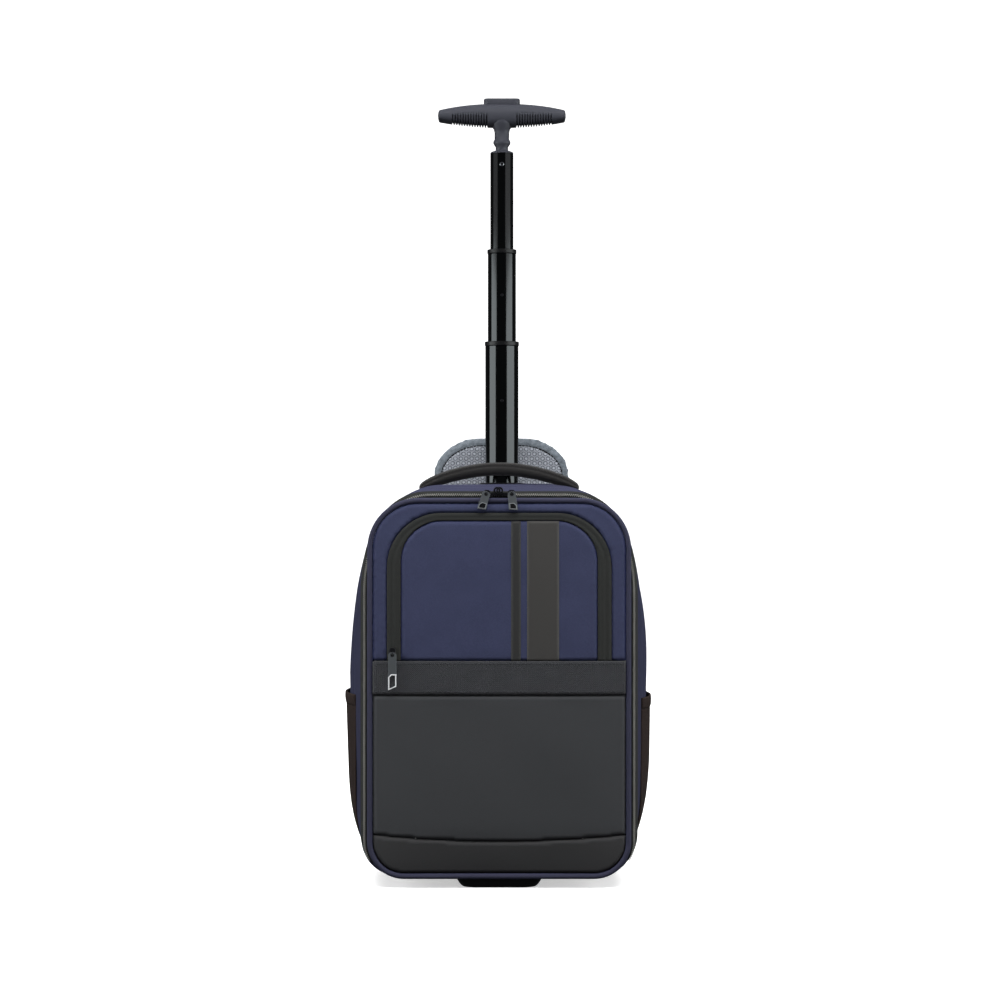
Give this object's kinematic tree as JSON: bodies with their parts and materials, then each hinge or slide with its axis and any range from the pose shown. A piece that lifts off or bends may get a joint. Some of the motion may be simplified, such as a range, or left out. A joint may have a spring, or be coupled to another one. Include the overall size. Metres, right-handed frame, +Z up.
{
  "type": "wheeled backpack",
  "caption": "Soft backpack on two rear wheels and a front foot, with a telescopic pole and ribbed grip, zipped front pocket, side pockets, carry handle and shoulder straps.",
  "frame": {"origin": "centre of the bounding box at floor level", "axes": "+X to the right of the front face, +Y from the front to the back, +Z up along the pole"},
  "size_m": [0.3548, 0.225, 0.9185],
  "materials": {
    "navy_twill": "matt woven polyester",
    "side_cloth": "matt woven polyester",
    "black_tape": "woven zip tape",
    "stripe_film": "matt printed film",
    "black_webbing": "ribbed webbing",
    "coated_panel": "smooth coated cloth",
    "piping_cloth": "wrapped piping",
    "stretch_knit": "matt stretch knit",
    "black_padding": "padded cloth",
    "grey_mesh": "melange air mesh",
    "zip_teeth_nickel": "dull nickel",
    "black_zinc": "semi-gloss black",
    "black_aluminium": "gloss black anodised",
    "black_plastic": "satin moulded",
    "grip_plastic": "fine grain moulded",
    "steel": "zinc plated",
    "tyre_rubber": "matt"
  },
  "bodies": {
    "bag": {"front_surround": "navy_twill", "pocket_panel": "navy_twill", "main_shell": "side_cloth", "bottom_gusset": "side_cloth", "pocket_zip_tape": "black_tape", "main_zip_tape": "black_tape", "stripe_narrow": "stripe_film", "stripe_wide": "stripe_film", "webbing_band": "black_webbing", "strap_webbing_left": "black_webbing", "strap_webbing_right": "black_webbing", "lower_panel": "coated_panel", "bottom_panel": "coated_panel", "front_piping": "piping_cloth", "side_pocket_left": "stretch_knit", "side_pocket_right": "stretch_knit", "pocket_hem_left": "stretch_knit", "pocket_hem_right": "stretch_knit", "carry_handle": "black_padding", "shoulder_strap_left": "black_padding", "shoulder_strap_right": "black_padding", "back_flap": "grey_mesh", "back_pad": "grey_mesh", "main_zip_teeth": "zip_teeth_nickel", "main_slider_left": "black_zinc", "main_slider_right": "black_zinc", "main_tab_left": "black_zinc", "main_tab_right": "black_zinc", "pocket_slider": "black_zinc", "pocket_tab": "black_zinc", "outer_tube": "black_aluminium", "socket_bezel": "black_plastic", "base_plate": "black_plastic", "front_foot": "black_plastic", "wheel_housing_left": "black_plastic", "wheel_housing_right": "black_plastic", "wheel_axle_left": "steel", "wheel_axle_right": "steel"},
    "lower_stage": {"lower_tube": "black_aluminium", "lower_collar": "black_plastic"},
    "middle_stage": {"middle_tube": "black_aluminium", "middle_collar": "black_plastic"},
    "upper_stage": {"upper_tube": "black_aluminium", "pole_screw": "steel", "grip": "grip_plastic"},
    "button": {"grip_button": "black_plastic"},
    "wheel_left": {"wheel_core_left": "grip_plastic", "wheel_tyre_left": "tyre_rubber"},
    "wheel_right": {"wheel_core_right": "grip_plastic", "wheel_tyre_right": "tyre_rubber"}
  },
  "joints": [
    {"name": "lower_stage_slide", "type": "slide", "parent": "bag", "child": "lower_stage", "axis": [0, 0, 1], "range_m": [-0.16, 0]},
    {"name": "middle_stage_slide", "type": "slide", "parent": "lower_stage", "child": "middle_stage", "axis": [0, 0, 1], "range_m": [-0.103, 0]},
    {"name": "upper_stage_slide", "type": "slide", "parent": "middle_stage", "child": "upper_stage", "axis": [0, 0, 1], "range_m": [-0.108, 0]},
    {"name": "button_press", "type": "slide", "parent": "upper_stage", "child": "button", "axis": [0, 0, 1], "range_m": [-0.0035, 0], "stiffness_N_per_m": 1000},
    {"name": "wheel_left_spin", "type": "hinge", "parent": "bag", "child": "wheel_left", "pos_m": [-0.118, 0.07493, 0.03], "axis": [1, 0, 0], "continuous": true},
    {"name": "wheel_right_spin", "type": "hinge", "parent": "bag", "child": "wheel_right", "pos_m": [0.118, 0.07493, 0.03], "axis": [1, 0, 0], "continuous": true}
  ]
}
